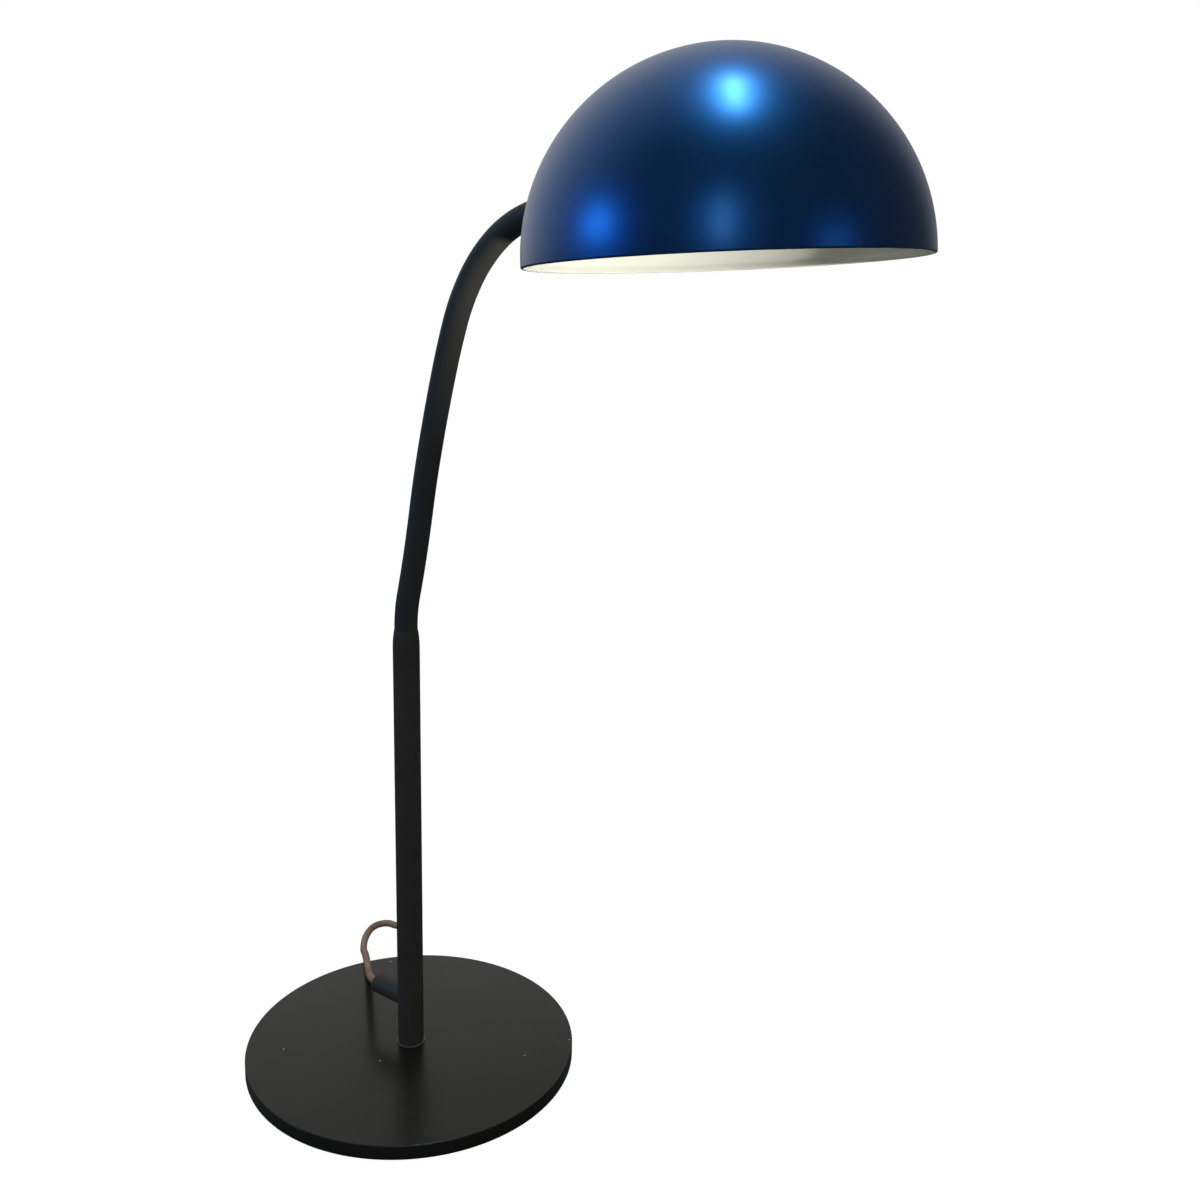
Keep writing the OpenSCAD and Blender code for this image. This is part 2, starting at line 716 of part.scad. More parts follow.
module bulb_glass() {
    steps = 12;
    ball = bulb_d / 2;
    widest = bulb_l - ball;
    neck = (screw_d - cap_wall) / 2;
    turn = 120;
    function skin(i, t) = i <= steps
        ? let (a = turn * i / steps) [(ball - t) * sin(a), widest + (ball - t) * cos(a)]
        : let (s = (i - steps) / steps, low = widest + ball * cos(turn), wide = ball * sin(turn))
            [neck + (wide - neck) * pow(1 - s, 1.6) - t, low * (1 - s)];
    color([0.95, 0.95, 0.92, 0.6]) in_shade() on_holder(glass_start) rotate_extrude() polygon(concat(
        [for (i = [0 : 2 * steps]) skin(i, 0)],
        [for (i = [2 * steps : -1 : 0]) skin(i, glass_t)]));
}

knob_shaft_r = 2;
knob_shaft_out = 1;
knob_gap = 0.4;

module switch_knob() {
    color(black_rubber) in_shade() translate([knob_x, 0, holder_z]) {
        rotate([-90, 0, 0]) cylinder(r = knob_shaft_r, h = holder_d / 2 + knob_shaft_out);
        translate([-knob_t / 2, holder_d / 2 + knob_gap, -knob_l / 2]) cube([knob_t, knob_h, knob_l]);
    }
}

// The lead leaves the nipple, turns up and goes into the lampholder's cap
lead_out = nipple_l + 5;
lead_turn = 90 + entry_angle;
lead_centre = nipple_point(-lead_bend_r, lead_out);
lead_end = [lead_centre.x + lead_bend_r, 0, lead_centre.z];

lead_steps = 8;
lead_way = concat(
    [nipple_point(0, 0), nipple_point(0, lead_out / 2)],
    [for (i = [0 : lead_steps]) let (a = lead_turn * (i / lead_steps - 1))
        lead_centre + lead_bend_r * [cos(a), 0, sin(a)]],
    [lead_end + [0, 0, holder_wall], lead_end + [0, 0, 2 * holder_wall]]);

module lamp_lead_upper() {
    color(cord_grey) in_shade() cord_tube(lead_way, lead_r, 12, [0, 1, 0]);
}

module mains_cord() {
    color(cord_grey) {
        cord_tube(cord_way, lead_r, 8, [0, 0, 1]);
        behind_pole(tail_start.x, tail_start.y, tail_start.z) cord_tube(tail_way, lead_r, 8, [0, 0, 1]);
    }
}

// A point behind the pole, in line with the hank's first run
function behind_point(x) =
    let (along = hank_start + x, across = hank_side(0))
    [along * cos(rear_angle) - across * sin(rear_angle), along * sin(rear_angle) + across * cos(rear_angle), cord_d / 2];

cord_way = concat(cord_route, [behind_point(-lead_in - straight_end), behind_point(-lead_in)]);
echo(cord_length = way_length(cord_way) + way_length(hank_way) + way_length(tail_way));

module cord_hank() {
    color(cord_grey) behind_pole(0, 0, hank_z) cord_tube(hank_way, lead_r, 6, [0, 1, 0]);
}

module hank_tie() {
    inner_w = layer_step + cord_d + 0.8;
    low = -(hank_out_r - waist + cord_d / 2 + 0.4);
    high = hank_out_r - hank_step / 2 - waist + cord_d / 2 + 0.4;
    corner = 3;
    function outline(grow) = let (x = inner_w / 2 + grow - corner, lo = low - grow + corner, hi = high + grow - corner)
        concat(arc_points(x, hi, corner, 0, 90, 4), arc_points(-x, hi, corner, 90, 180, 4),
            arc_points(-x, lo, corner, 180, 270, 4), arc_points(x, lo, corner, 270, 360, 4));
    color(black_rubber) behind_pole(hank_run / 2 - tie_w / 2, 0, hank_z) rotate([90, 0, 90]) difference() {
        linear_extrude(height = tie_w) polygon(outline(tie_t));
        translate([0, 0, -cut]) linear_extrude(height = tie_w + 2 * cut) polygon(outline(0));
    }
}

// The plug lies on its narrow side, with its pins pointing away from the lamp
module at_plug() {
    behind_pole(plug_place.x, plug_place.y, plug_place.z) rotate([0, 90, 0]) children();
}

plug_start = relief_l;

module plug_body() {
    shoulder = plug_l * 0.45;
    back = 7;
    color(black_rubber) at_plug() difference() {
        union() {
            cylinder(r1 = lead_r + 0.8, r2 = 5, h = relief_l + cut);
            translate([0, plug_t / 2, plug_start]) rotate([90, 0, 0]) linear_extrude(height = plug_t)
                polygon([[-back, 0], [back, 0], [plug_w / 2, shoulder], [plug_w / 2, plug_l],
                    [-plug_w / 2, plug_l], [-plug_w / 2, shoulder]]);
        }
        for (side = [-1, 1]) translate([side * pin_pitch / 2, 0, plug_start + plug_l - pin_root])
            cylinder(d = pin_d + 2 * fit_gap, h = pin_root + cut);
    }
}

pin_root = 8;

module plug_pins() {
    color(steel) at_plug() for (side = [-1, 1])
        translate([side * pin_pitch / 2, 0, plug_start + plug_l - pin_root])
            cylinder(d = pin_d, h = pin_root + pin_l);
}

base_plate();
base_felt();
foot_ring();
foot_bolt();
foot_washer();
pole_insert();
pole();
cord_outlet();
outlet_bush();
neck_bush();
lamp_lead_lower();
for (k = [0 : sections - 1]) neck_sleeve(k);
for (k = [0 : sections - 1]) neck_coil(k);
neck_nipple();
shade_seat();
shade();
inner_washer();
nipple_nut();
holder_bracket();
holder_nipple();
holder_nut();
holder_cap();
holder_body();
holder_insert();
holder_terminals();
thread_shell();
centre_contact();
bulb_cap();
bulb_glass();
switch_knob();
lamp_lead_upper();
mains_cord();
cord_hank();
hank_tie();
plug_body();
plug_pins();
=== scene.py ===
"""A gooseneck desk lamp: the looks of each visible piece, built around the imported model."""

import json
import math

import bpy
from mathutils import Matrix, Vector


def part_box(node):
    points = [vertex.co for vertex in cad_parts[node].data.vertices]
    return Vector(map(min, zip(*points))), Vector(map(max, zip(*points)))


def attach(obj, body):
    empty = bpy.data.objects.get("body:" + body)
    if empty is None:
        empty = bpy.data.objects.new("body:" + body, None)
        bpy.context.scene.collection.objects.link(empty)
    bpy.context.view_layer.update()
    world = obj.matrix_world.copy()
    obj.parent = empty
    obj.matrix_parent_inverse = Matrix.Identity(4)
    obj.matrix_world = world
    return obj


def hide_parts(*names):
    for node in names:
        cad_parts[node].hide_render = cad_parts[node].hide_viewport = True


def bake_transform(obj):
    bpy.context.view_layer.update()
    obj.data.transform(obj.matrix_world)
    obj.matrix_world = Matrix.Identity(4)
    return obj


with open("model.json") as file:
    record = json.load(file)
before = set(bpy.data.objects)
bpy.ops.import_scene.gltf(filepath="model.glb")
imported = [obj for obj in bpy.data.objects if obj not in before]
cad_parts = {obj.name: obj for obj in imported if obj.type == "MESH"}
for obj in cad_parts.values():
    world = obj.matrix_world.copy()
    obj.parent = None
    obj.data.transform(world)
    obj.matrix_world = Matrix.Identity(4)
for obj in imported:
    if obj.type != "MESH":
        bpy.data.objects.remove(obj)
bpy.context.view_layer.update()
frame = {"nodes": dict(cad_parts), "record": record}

bl_info = {
    "name": "Gooseneck desk lamp",
    "version": (1, 0, 0),
    "blender": (4, 5, 0),
    "location": "View3D > Sidebar > Desk Lamp",
    "description": "Builds a desk lamp with a half-ball shade on a flexible neck",
    "category": "Add Mesh",
}

MM = 0.001


def span(node, axis):
    """Size of a node of the model along one axis."""
    low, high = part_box(node)
    return high[axis] - low[axis]


# Sizes that the settings start from, in metres
BASE_RADIUS = span("base_plate", 0) / 2
POLE_RADIUS = span("pole", 0) / 2
SLEEVE_RADIUS = span("neck_sleeve_05", 1) / 2
SHADE_RADIUS = 0.1015

# The neck's sections, from the pole's mouth to the shade: lengths in mm and bends in degrees
SECTION_LENGTHS = [23.7] + [29] * 9 + [23]
SECTION_BENDS = [14, -2.5, -1.5, 2.5, 1.5, 1.5, 3.5, 13, 17.5, 22.5, 29.5]
NECK_ROOT_Z = 298.5

# The sleeve, in mm: its gap at the pole's mouth, its steps, and a distance each side of a joint
SLEEVE_GAP = 0.15
SLEEVE_STEP = 1.2
SLEEVE_SIDES = 64
BEND_REACH = 13

# The shade and the lampholder's axis on the neck's end, in mm and degrees
SHADE_SEAT = 4
SHADE_ROLL = -1.5
ENTRY_ANGLE = 16.5
HOLDER_Z = 52

# The mains cord's way from the outlet to the hank, in mm
CORD_ROUTE = [
    (-31, 0, 41.5), (-35, 0, 41.5), (-40.5, 2.2, 40.7), (-47, 7.4, 37.8), (-54, 13.6, 32.9),
    (-61.5, 20.3, 27), (-69.5, 27.4, 20.9), (-78, 35, 16.1), (-86.5, 42, 13.9), (-95.5, 49.2, 13.3),
    (-104.5, 56.2, 11.4), (-111.5, 61.8, 7.7), (-118.5, 67.8, 4.4), (-125.5, 74.5, 2.8),
    (-131.5, 81.5, 2.6), (-136.3, 89, 2.6), (-139.2, 96, 2.6), (-139.7, 101.5, 2.6),
    (-137.8, 106.5, 2.6), (-133.8, 109.9, 2.6), (-128.7, 110.6, 2.6), (-124, 112.6, 2.6),
    (-120.7, 116.5, 2.6), (-119.7, 121.5, 2.6), (-120.8, 126, 2.6), (-123.8, 130, 2.6),
    (-127.6, 133.2, 2.6), (-130.9, 135.5, 2.6),
]
# Its way from the hank to the plug, from the end of the hank's last run
TAIL_ROUTE = [
    (0, 0, 0), (2, 0, 0), (6, -0.4, 1), (10.5, -1, 3.6), (14.5, -1.6, 7), (18.5, -2.2, 10.7),
    (22.5, -2.7, 13.6), (26.5, -2.85, 15), (30, -2.85, 15),
]
# Height of the cord's middle where it lies on the table
CORD_REST = 2.6
CORD_STEPS = 5

# The hank behind the pole, in mm and degrees
REAR_ANGLE = 135.3
HANK_START = 202
HANK_RUN = 84
HANK_RADIUS = 10.8
HANK_STEP = 5.9
LAYER_STEP = 5.7
HANK_TURNS = 4
HANK_WAIST = 7.6
HANK_STEPS = 14
LEAD_IN = 8
STRAIGHT_END = 4.5
# Share of a turn that one straight run takes, and one fold
RUN_SHARE = 5 / 24
FOLD_SHARE = 7 / 24

# The camera that the photograph was fitted with: its place in metres and its directions
CAMERA_PLACE = (0.584765, -0.577983, 0.546308)
CAMERA_RIGHT = (0.797175, 0.603467, 0.018409)
CAMERA_UP = (-0.141647, 0.157301, 0.97734)
CAMERA_AHEAD = (-0.586897, 0.781719, -0.210876)
CAMERA_SHIFT = -80 / 1200

# Area lamps: name, place, power, tint, and the width and height of the face in metres
AREA_LAMPS = (
    ("ceiling lamp", (0.2, 0.1, 2.6), 14.5, (0.38, 0.88, 1.0), 0.1, 0.8),
    ("window", (-1.5, -1.98, 1.15), 9, (0.06, 0.45, 1.0), 0.7, 0.5),
    ("front window", (1.25, -1.84, 1.27), 2.9, (0.35, 0.75, 1.0), 0.08, 0.8),
    ("side window", (2.1, -0.02, 0.85), 0.8, (0.1, 0.5, 1.0), 0.5, 0.2),
)
LAMP_TARGET = (0.1, 0, 0.35)
CEILING_HEADING = 37
LOW_SPOT_PLACE = (1.2, 0.0, 0.1)
LOW_SPOT_TARGET = (0.235, 0.02, 0.58)
# The way to the bright wall, before it is turned to its heading
WALL_WAY = (-0.94, 0, -0.34)
# The room's even light on everything but the gloss
SOFT_LIGHT = 0.42


# ---- places ----


def section_radius(k):
    return SECTION_LENGTHS[k] / math.radians(abs(SECTION_BENDS[k]))


def neck_place(distance):
    """Centre of the neck at a distance from the pole's mouth, in mm, and its lean in radians."""
    x, z, lean, left = 0.0, float(NECK_ROOT_Z), 0.0, distance
    for k, length in enumerate(SECTION_LENGTHS):
        step = min(left, length)
        bend = math.radians(SECTION_BENDS[k]) * step / length
        chord = 2 * section_radius(k) * math.sin(abs(bend) / 2)
        x += chord * math.sin(lean + bend / 2)
        z += chord * math.cos(lean + bend / 2)
        lean += bend
        left -= step
        if left <= 0:
            break
    return Vector((x, 0, z)), lean


def section_start(k):
    return sum(SECTION_LENGTHS[:k])


NECK_LENGTH = section_start(len(SECTION_LENGTHS))


def turn(degrees, axis):
    return Matrix.Rotation(math.radians(degrees), 4, axis)


def shade_place():
    """Frame of the shade: the centre of its ball, with its rim level, in metres."""
    end, lean = neck_place(NECK_LENGTH)
    radius = SHADE_RADIUS / MM
    return (
        Matrix.Translation(end * MM)
        @ Matrix.Rotation(lean, 4, "Y")
        @ turn(SHADE_ROLL, "Z")
        @ Matrix.Translation(Vector((0, 0, SHADE_SEAT + radius)) * MM)
        @ turn(-90 - ENTRY_ANGLE, "Y")
    )


def on_holder(station):
    """Frame at a station on the lampholder's axis, in mm, with +Z along it."""
    return shade_place() @ Matrix.Translation(Vector((station, 0, HOLDER_Z)) * MM) @ turn(90, "Y")


def behind_pole(x, y, z):
    """A point of the hank's own frame, in mm, which lies behind the pole."""
    return turn(REAR_ANGLE, "Z") @ Vector((HANK_START + x, y, z))


# ---- modelling, by the usual tools ----


def deselect_all():
    if bpy.context.object and bpy.context.object.mode != "OBJECT":
        bpy.ops.object.mode_set(mode="OBJECT")
    bpy.ops.object.select_all(action="DESELECT")


def pick(obj):
    deselect_all()
    obj.select_set(True)
    bpy.context.view_layer.objects.active = obj


def settle(obj, place=None):
    """Puts the piece's place into its mesh, so that its object sits at the origin."""
    if place is not None:
        obj.matrix_world = place @ obj.matrix_world
    pick(obj)
    bpy.ops.object.transform_apply(location=True, rotation=True, scale=True)
    return obj


def smooth(obj, angle=35):
    pick(obj)
    bpy.ops.object.shade_smooth_by_angle(angle=math.radians(angle))
    return obj


def from_points(name, points, edges, faces):
    """A new object with a mesh of the given points, edges and faces."""
    mesh = bpy.data.meshes.new(name)
    mesh.from_pydata(points, edges, faces)
    obj = bpy.data.objects.new(name, mesh)
    bpy.context.collection.objects.link(obj)
    return obj


def turned(name, profile, place=None, sides=128, closed=True, angle=35):
    """A piece turned on a lathe: a profile of (radius, height) points in mm, spun about +Z."""
    points = [(r * MM, 0, z * MM) for r, z in profile]
    count = len(points)
    edges = [(i, i + 1) for i in range(count - 1)]
    if closed:
        edges.append((count - 1, 0))
    obj = from_points(name, points, edges, [])
    pick(obj)
    bpy.ops.object.mode_set(mode="EDIT")
    bpy.ops.mesh.select_all(action="SELECT")
    bpy.ops.mesh.spin(steps=sides, angle=math.tau, center=(0, 0, 0), axis=(0, 0, 1))
    bpy.ops.mesh.select_all(action="SELECT")
    bpy.ops.mesh.remove_doubles(threshold=1e-6)
    bpy.ops.mesh.dissolve_degenerate(threshold=1e-7)
    bpy.ops.mesh.select_all(action="SELECT")
    bpy.ops.mesh.normals_make_consistent(inside=False)
    bpy.ops.object.mode_set(mode="OBJECT")
    settle(obj, place)
    return smooth(obj, angle)


def joined(name, pieces):
    deselect_all()
    for piece in pieces:
        piece.select_set(True)
    bpy.context.view_layer.objects.active = pieces[0]
    bpy.ops.object.join()
    obj = bpy.context.object
    obj.name = obj.data.name = name
    return obj


def arc(x, y, radius, start, end, steps):
    """Points of an arc, in mm and degrees."""
    angles = [math.radians(start + (end - start) * i / steps) for i in range(steps + 1)]
    return [(x + radius * math.cos(a), y + radius * math.sin(a)) for a in angles]


def bent_tube(name, start, end, radius, wall):
    """A length of the neck's sleeve, drawn out step by step along the neck, then given its wall."""
    steps = round((end - start) / SLEEVE_STEP)
    centre, lean = neck_place(start)
    deselect_all()
    bpy.ops.mesh.primitive_circle_add(
        vertices=SLEEVE_SIDES, radius=radius * MM, fill_type="NOTHING",
        location=centre * MM, rotation=(0, lean, 0))
    obj = bpy.context.object
    obj.name = obj.data.name = name
    settle(obj)
    bpy.ops.object.mode_set(mode="EDIT")
    bpy.ops.mesh.select_all(action="SELECT")
    for i in range(1, steps + 1):
        next_centre, next_lean = neck_place(start + (end - start) * i / steps)
        bpy.ops.mesh.extrude_region_move(
            TRANSFORM_OT_translate={"value": (next_centre - centre) * MM})
        # this tool counts its angle the other way round from the neck's lean
        bpy.ops.transform.rotate(
            value=lean - next_lean, orient_axis="Y", orient_type="GLOBAL",
            center_override=next_centre * MM)
        centre, lean = next_centre, next_lean
    bpy.ops.mesh.select_all(action="SELECT")
    bpy.ops.mesh.normals_make_consistent(inside=False)
    bpy.ops.object.mode_set(mode="OBJECT")
    solid = obj.modifiers.new("Wall", "SOLIDIFY")
    solid.thickness = wall * MM
    solid.offset = -1
    pick(obj)
    bpy.ops.object.modifier_apply(modifier=solid.name)
    return smooth(obj, 50)


# ---- materials ----


def feed(tree, socket, value):
    """Links a socket to another node's output, or sets its value."""
    if isinstance(value, bpy.types.NodeSocket):
        tree.links.new(value, socket)
    else:
        socket.default_value = value


def add_node(tree, kind, operation=None, **values):
    """A node with its inputs fed: i0, i1 and so on by number, the others by name."""
    node = tree.nodes.new(kind)
    if operation:
        node.operation = operation
    for name, value in values.items():
        numbered = name[0] == "i" and name[1:].isdigit()
        feed(tree, node.inputs[int(name[1:]) if numbered else name.replace("_", " ")], value)
    return node


def new_group(name, inputs, outputs):
    tree = bpy.data.node_groups.new(name, "ShaderNodeTree")
    for label, kind, value in inputs:
        socket = tree.interface.new_socket(label, in_out="INPUT", socket_type=kind)
        if value is not None:
            socket.default_value = value
    for label, kind in outputs:
        tree.interface.new_socket(label, in_out="OUTPUT", socket_type=kind)
    return tree, tree.nodes.new("NodeGroupInput"), tree.nodes.new("NodeGroupOutput")


def grain_group():
    """Fine grain and slow blotches of a painted or moulded surface."""
    tree, given, result = new_group(
        "Surface grain",
        [("Place", "NodeSocketVector", None), ("Grain size", "NodeSocketFloat", 900.0),
         ("Blotch size", "NodeSocketFloat", 18.0)],
        [("Grain", "NodeSocketFloat"), ("Blotches", "NodeSocketFloat")],
    )
    place = given.outputs["Place"]
    fine = add_node(
        tree, "ShaderNodeTexNoise", Vector=place, Scale=given.outputs["Grain size"], Detail=2.0)
    slow = add_node(
        tree, "ShaderNodeTexNoise", Vector=place, Scale=given.outputs["Blotch size"], Detail=3.0)
    tree.links.new(fine.outputs["Fac"], result.inputs["Grain"])
    tree.links.new(slow.outputs["Fac"], result.inputs["Blotches"])
    return tree


def dust_group():
    """Sparse specks of dust: small dots on a few of the surface's cells."""
    tree, given, result = new_group(
        "Dust specks",
        [("Place", "NodeSocketVector", None), ("Cells", "NodeSocketFloat", 90.0),
         ("Speck size", "NodeSocketFloat", 0.12), ("Share", "NodeSocketFloat", 0.05)],
        [("Specks", "NodeSocketFloat")],
    )
    cells = add_node(
        tree, "ShaderNodeTexVoronoi", Vector=given.outputs["Place"], Scale=given.outputs["Cells"])
    drawn = add_node(tree, "ShaderNodeSeparateColor", Color=cells.outputs["Color"])
    chosen = add_node(
        tree, "ShaderNodeMath", "LESS_THAN", i0=drawn.outputs["Red"], i1=given.outputs["Share"])
    near = add_node(
        tree, "ShaderNodeMath", "LESS_THAN", i0=cells.outputs["Distance"],
        i1=given.outputs["Speck size"])
    both = add_node(tree, "ShaderNodeMath", "MULTIPLY", i0=chosen.outputs[0], i1=near.outputs[0])
    tree.links.new(both.outputs[0], result.inputs["Specks"])
    return tree


def place_group(tree, group, **values):
    node = tree.nodes.new("ShaderNodeGroup")
    node.node_tree = group
    for name, value in values.items():
        feed(tree, node.inputs[name.replace("_", " ")], value)
    return node


def spread(tree, value, low, high, out_low, out_high):
    """Maps a value from one span to another."""
    node = add_node(tree, "ShaderNodeMapRange", i0=value, i1=low, i2=high, i3=out_low, i4=out_high)
    return node.outputs[0]


def blend_colours(tree, factor, first, second):
    """A mix of two colours. Inputs 6 and 7 and output 2 are the node's colour sockets."""
    node = tree.nodes.new("ShaderNodeMix")
    node.data_type = "RGBA"
    for socket, value in (("Factor", factor), (6, first), (7, second)):
        feed(tree, node.inputs[socket], value)
    return node.outputs[2]


def colour(red, green, blue):
    return (red, green, blue, 1.0)


def surface(name, base, metallic=0.0, roughness=0.5, specular=0.5, coat=0.0, coat_roughness=0.1,
            grain=900.0, blotch=18.0, bump=0.00002, vary=0.15, rough_vary=0.08, dust=None,
            sheen=0.0, shade_dark=0.6):
    """A finish with fine grain in its bump, slow blotches in its colour and gloss, and any dust."""
    material = bpy.data.materials.new(name)
    material.use_nodes = True
    tree = material.node_tree
    shader = tree.nodes["Principled BSDF"]
    shader.inputs["Metallic"].default_value = metallic
    shader.inputs["Specular IOR Level"].default_value = specular
    shader.inputs["Coat Weight"].default_value = coat
    shader.inputs["Coat Roughness"].default_value = coat_roughness
    shader.inputs["Sheen Weight"].default_value = sheen
    place = add_node(tree, "ShaderNodeTexCoord").outputs["Object"]
    marks = place_group(tree, GROUPS["grain"], Place=place, Grain_size=grain, Blotch_size=blotch)
    blotches = marks.outputs["Blotches"]
    dark = colour(*(c * shade_dark for c in base[:3]))
    body = blend_colours(tree, spread(tree, blotches, 0.35, 0.65, 0.0, vary), base, dark)
    rough = spread(tree, blotches, 0.3, 0.7, roughness - rough_vary, roughness + rough_vary)
    if dust:
        cells, size, share, dust_colour = dust
        specks = place_group(
            tree, GROUPS["dust"], Place=place, Cells=cells, Speck_size=size, Share=share)
        body = blend_colours(tree, specks.outputs["Specks"], body, dust_colour)
    tree.links.new(body, shader.inputs["Base Color"])
    tree.links.new(rough, shader.inputs["Roughness"])
    height = tree.nodes.new("ShaderNodeBump")
    height.inputs["Strength"].default_value = 1.0
    height.inputs["Distance"].default_value = bump
    tree.links.new(marks.outputs["Grain"], height.inputs["Height"])
    tree.links.new(height.outputs["Normal"], shader.inputs["Normal"])
    return material


GROUPS = {}
FINISH = {}


def make_finishes(lamp):
    GROUPS["grain"] = grain_group()
    GROUPS["dust"] = dust_group()
    pale_dust = colour(0.30, 0.29, 0.27)
    FINISH["enamel"] = surface(
        "Satin black enamel", colour(*lamp.base_colour), roughness=0.26, specular=0.5, grain=700.0,
        blotch=14.0, bump=0.00006, vary=0.35, rough_vary=0.05, dust=(85.0, 0.06, 0.1, pale_dust))
    FINISH["pole"] = surface(
        "Black pole paint", colour(*lamp.pole_colour), roughness=0.5, specular=0.3, grain=1100.0,
        blotch=30.0, bump=0.00003, vary=0.3, dust=(160.0, 0.09, 0.02, pale_dust))
    FINISH["blue"] = surface(
        "Metallic blue lacquer", colour(*lamp.shade_colour), metallic=1.0, roughness=0.37, coat=0.9,
        coat_roughness=0.29, grain=2400.0, blotch=9.0, bump=0.000004, vary=0.12, rough_vary=0.015)
    FINISH["cream"] = surface(
        "Cream enamel", colour(*lamp.inside_colour), roughness=0.4, specular=0.4, grain=600.0,
        blotch=16.0, bump=0.00003, vary=0.15, shade_dark=0.85)
    FINISH["sleeve"] = surface(
        "Black sleeve", colour(*lamp.sleeve_colour), roughness=0.5, specular=0.3, grain=1500.0,
        blotch=40.0, bump=0.00003, vary=0.3, dust=(190.0, 0.09, 0.02, pale_dust))
    FINISH["steel"] = surface(
        "Zinc plated steel", colour(0.58, 0.58, 0.57), metallic=1.0, roughness=0.34, grain=800.0,
        bump=0.00003, vary=0.3)
    FINISH["brass"] = surface(
        "Brass", colour(0.72, 0.5, 0.22), metallic=1.0, roughness=0.3, grain=700.0,
        bump=0.00002, vary=0.3)
    FINISH["rubber"] = surface(
        "Black rubber", colour(0.012, 0.012, 0.012), roughness=0.55, specular=0.3, grain=900.0,
        bump=0.00005, vary=0.3)
    FINISH["cord"] = surface(
        "Cord sheath", colour(*lamp.cord_colour), roughness=0.42, specular=0.4, grain=900.0,
        blotch=60.0, bump=0.00003, vary=0.5)
    FINISH["holder"] = surface(
        "Glossy white holder", colour(0.68, 0.65, 0.57), roughness=0.22, specular=0.5, grain=500.0,
        bump=0.00001, vary=0.2, shade_dark=0.85)
    FINISH["felt"] = surface(
        "Felt", colour(0.02, 0.032, 0.026), roughness=0.95, specular=0.1, grain=1800.0,
        bump=0.0003, vary=0.6, sheen=0.3)
    glass = surface(
        "Frosted glass", colour(0.9, 0.9, 0.88), roughness=0.5, specular=0.5, grain=1200.0,
        bump=0.00001, vary=0.1, shade_dark=0.95)
    glass.node_tree.nodes["Principled BSDF"].inputs["Transmission Weight"].default_value = 0.35
    FINISH["glass"] = glass
    FINISH["worn"] = surface(
        "Worn rim", colour(0.12, 0.115, 0.11), metallic=0.6, roughness=0.35, grain=500.0,
        bump=0.00004, vary=0.6)


SLOT_FINISH = {
    "painted_steel_black": "pole", "painted_steel_blue": "blue", "felt": "felt", "steel": "steel",
    "sleeve": "sleeve", "rubber": "rubber", "cord": "cord", "holder": "holder", "brass": "brass",
    "glass": "glass",
}


def dress(obj, finish, body, slot, *nodes):
    """Gives a finished piece its material, its body and the model's nodes that it stands for."""
    if finish:
        obj.data.materials.clear()
        obj.data.materials.append(FINISH[finish])
    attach(obj, body)
    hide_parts(*nodes)
    return obj


# ---- settings ----


class LampSettings(bpy.types.PropertyGroup):
    """Sizes and colours of the desk lamp"""

    base_radius: bpy.props.FloatProperty(
        name="Base radius", description="Outer radius of the round base plate",
        default=BASE_RADIUS, unit="LENGTH")
    pole_radius: bpy.props.FloatProperty(
        name="Pole radius", description="Outer radius of the straight pole",
        default=POLE_RADIUS, unit="LENGTH")
    sleeve_radius: bpy.props.FloatProperty(
        name="Sleeve radius", description="Outer radius of the neck's plastic sleeve",
        default=SLEEVE_RADIUS, unit="LENGTH")
    sleeve_wall: bpy.props.FloatProperty(
        name="Sleeve wall", description="Wall of the neck's plastic sleeve",
        default=0.0009, unit="LENGTH")
    shade_radius: bpy.props.FloatProperty(
        name="Shade radius", description="Outer radius of the half-ball shade",
        default=SHADE_RADIUS, unit="LENGTH")
    shade_wall: bpy.props.FloatProperty(
        name="Shade wall", description="Thickness of the shade's metal",
        default=0.0008, unit="LENGTH")
    cord_diameter: bpy.props.FloatProperty(
        name="Cord diameter", description="Diameter of the mains cord",
        default=0.0052, unit="LENGTH")
    base_colour: bpy.props.FloatVectorProperty(
        name="Base colour", description="Colour of the base's enamel",
        default=(0.012, 0.0095, 0.006), subtype="COLOR")
    pole_colour: bpy.props.FloatVectorProperty(
        name="Pole colour", description="Colour of the pole's paint",
        default=(0.045, 0.039, 0.033), subtype="COLOR")
    sleeve_colour: bpy.props.FloatVectorProperty(
        name="Sleeve colour", description="Colour of the neck's sleeve",
        default=(0.038, 0.037, 0.036), subtype="COLOR")
    shade_colour: bpy.props.FloatVectorProperty(
        name="Shade colour", description="Colour of the shade's lacquer",
        default=(0.001, 0.1, 0.34), subtype="COLOR")
    inside_colour: bpy.props.FloatVectorProperty(
        name="Inside colour", description="Colour of the shade's inside",
        default=(0.61, 0.615, 0.565), subtype="COLOR")
    cord_colour: bpy.props.FloatVectorProperty(
        name="Cord colour", description="Colour of the mains cord's sheath",
        default=(0.36, 0.19, 0.125), subtype="COLOR")


class StageSettings(bpy.types.PropertyGroup):
    """Floor, light and camera"""

    floor_size: bpy.props.FloatProperty(
        name="Floor size", description="Side of the square floor", default=12.0, unit="LENGTH")
    lens: bpy.props.FloatProperty(
        name="Lens", description="Focal length of the camera", default=40.441, unit="CAMERA")
    wall_direction: bpy.props.FloatProperty(
        name="Wall direction",
        description="Heading of the bright wall that the gloss shows, in degrees", default=150.0)
    wall_light: bpy.props.FloatProperty(
        name="Wall light", description="Brightness of that wall", default=0.48)
    room_light: bpy.props.FloatProperty(
        name="Room light",
        description="Brightness of the rest of the room, as the gloss shows it", default=0.06)
    backdrop: bpy.props.FloatVectorProperty(
        name="Backdrop", description="Colour of the floor and the backdrop",
        default=(1.0, 1.0, 1.0), subtype="COLOR")


# ---- operators ----


